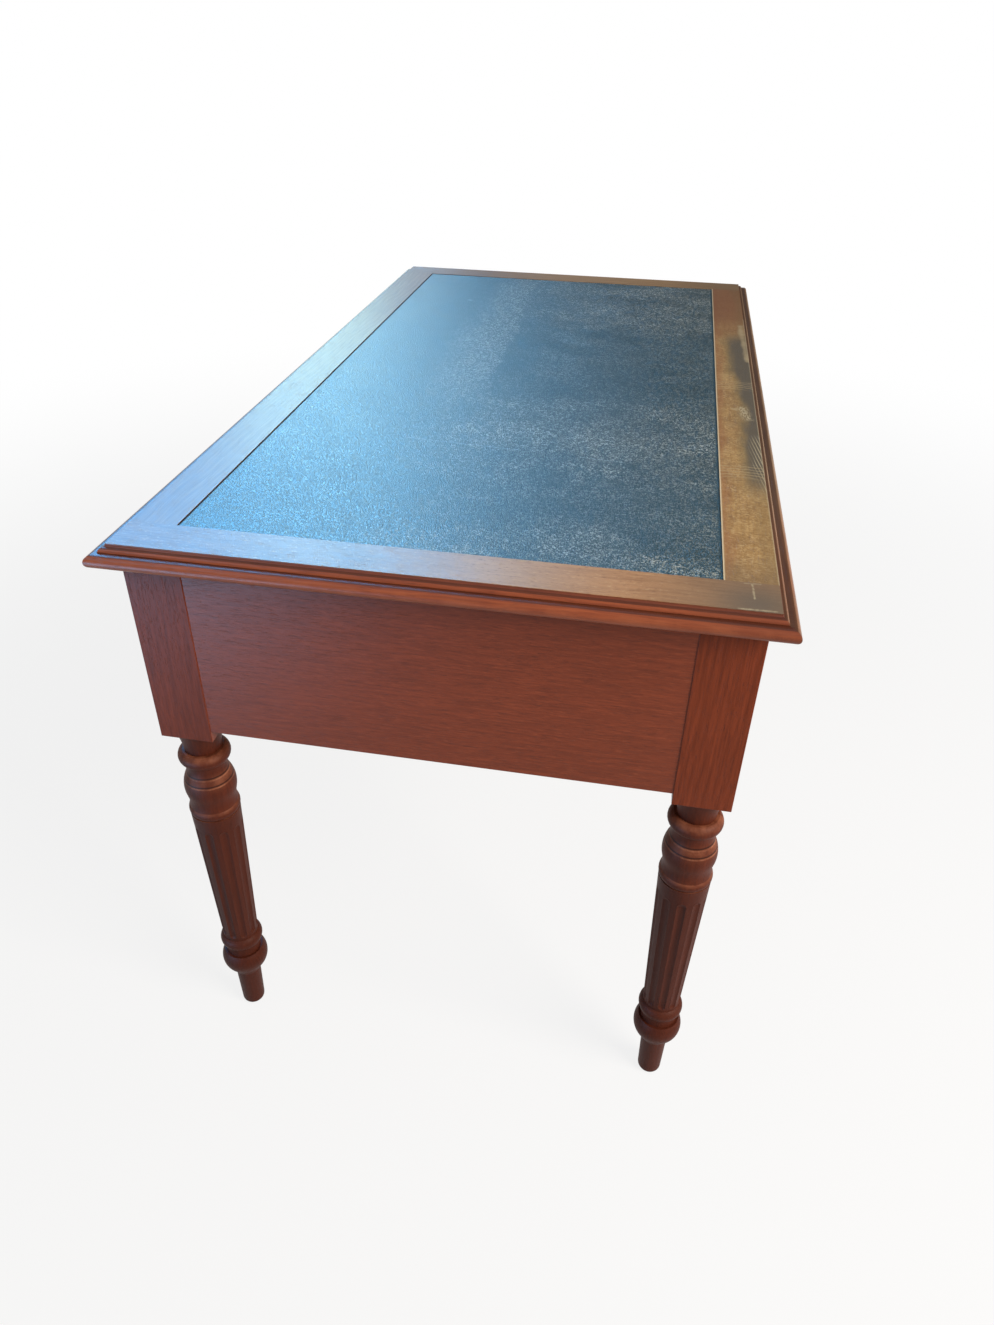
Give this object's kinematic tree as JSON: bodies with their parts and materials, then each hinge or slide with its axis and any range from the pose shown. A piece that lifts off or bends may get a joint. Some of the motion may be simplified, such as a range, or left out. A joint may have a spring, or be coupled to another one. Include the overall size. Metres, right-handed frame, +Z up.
{
  "type": "writing table",
  "caption": "Wooden writing table with a leather inset top, moulded edge, deep frieze with sliding drawers and turned, fluted legs.",
  "frame": {"origin": "on the floor, under the centre of the top", "axes": "+X along the table, -Y towards the sitter, +Z up"},
  "size_m": [1.27, 0.682, 0.76],
  "materials": {
    "top_wood": "worn satin varnish",
    "leg_wood": "satin varnish",
    "frame_wood": "satin varnish",
    "knob_wood": "satin varnish",
    "inner_wood": "bare",
    "drawer_lining": "bare",
    "writing_leather": "dull grained",
    "screw_steel": "dull"
  },
  "bodies": {
    "carcase": {"top_end_rail_left": "top_wood", "top_end_rail_right": "top_wood", "top_front_rail": "top_wood", "top_back_rail": "top_wood", "top_panel": "inner_wood", "leather_inset": "writing_leather", "top_screws": "screw_steel", "leg_front_left": "leg_wood", "leg_front_right": "leg_wood", "leg_back_left": "leg_wood", "leg_back_right": "leg_wood", "end_apron_left": "frame_wood", "end_apron_right": "frame_wood", "back_apron": "frame_wood", "front_top_rail": "frame_wood", "front_bottom_rail": "frame_wood", "drawer_divider": "frame_wood", "runner_left": "inner_wood", "runner_centre": "inner_wood", "runner_right": "inner_wood", "guide_left": "inner_wood", "guide_centre": "inner_wood", "guide_right": "inner_wood", "kicker_left": "inner_wood", "kicker_centre": "inner_wood", "kicker_right": "inner_wood", "drawer_stops": "inner_wood"},
    "drawer_left": {"drawer_left_front": "frame_wood", "drawer_left_side_left": "drawer_lining", "drawer_left_side_right": "drawer_lining", "drawer_left_back": "drawer_lining", "drawer_left_bottom": "drawer_lining", "drawer_left_knob_left": "knob_wood", "drawer_left_knob_right": "knob_wood"},
    "drawer_right": {"drawer_right_front": "frame_wood", "drawer_right_side_left": "drawer_lining", "drawer_right_side_right": "drawer_lining", "drawer_right_back": "drawer_lining", "drawer_right_bottom": "drawer_lining", "drawer_right_knob_left": "knob_wood", "drawer_right_knob_right": "knob_wood"}
  },
  "joints": [
    {"name": "drawer_left_slide", "type": "slide", "parent": "carcase", "child": "drawer_left", "axis": [0, -1, 0], "range_m": [0, 0.4]},
    {"name": "drawer_right_slide", "type": "slide", "parent": "carcase", "child": "drawer_right", "axis": [0, -1, 0], "range_m": [0, 0.4]}
  ]
}
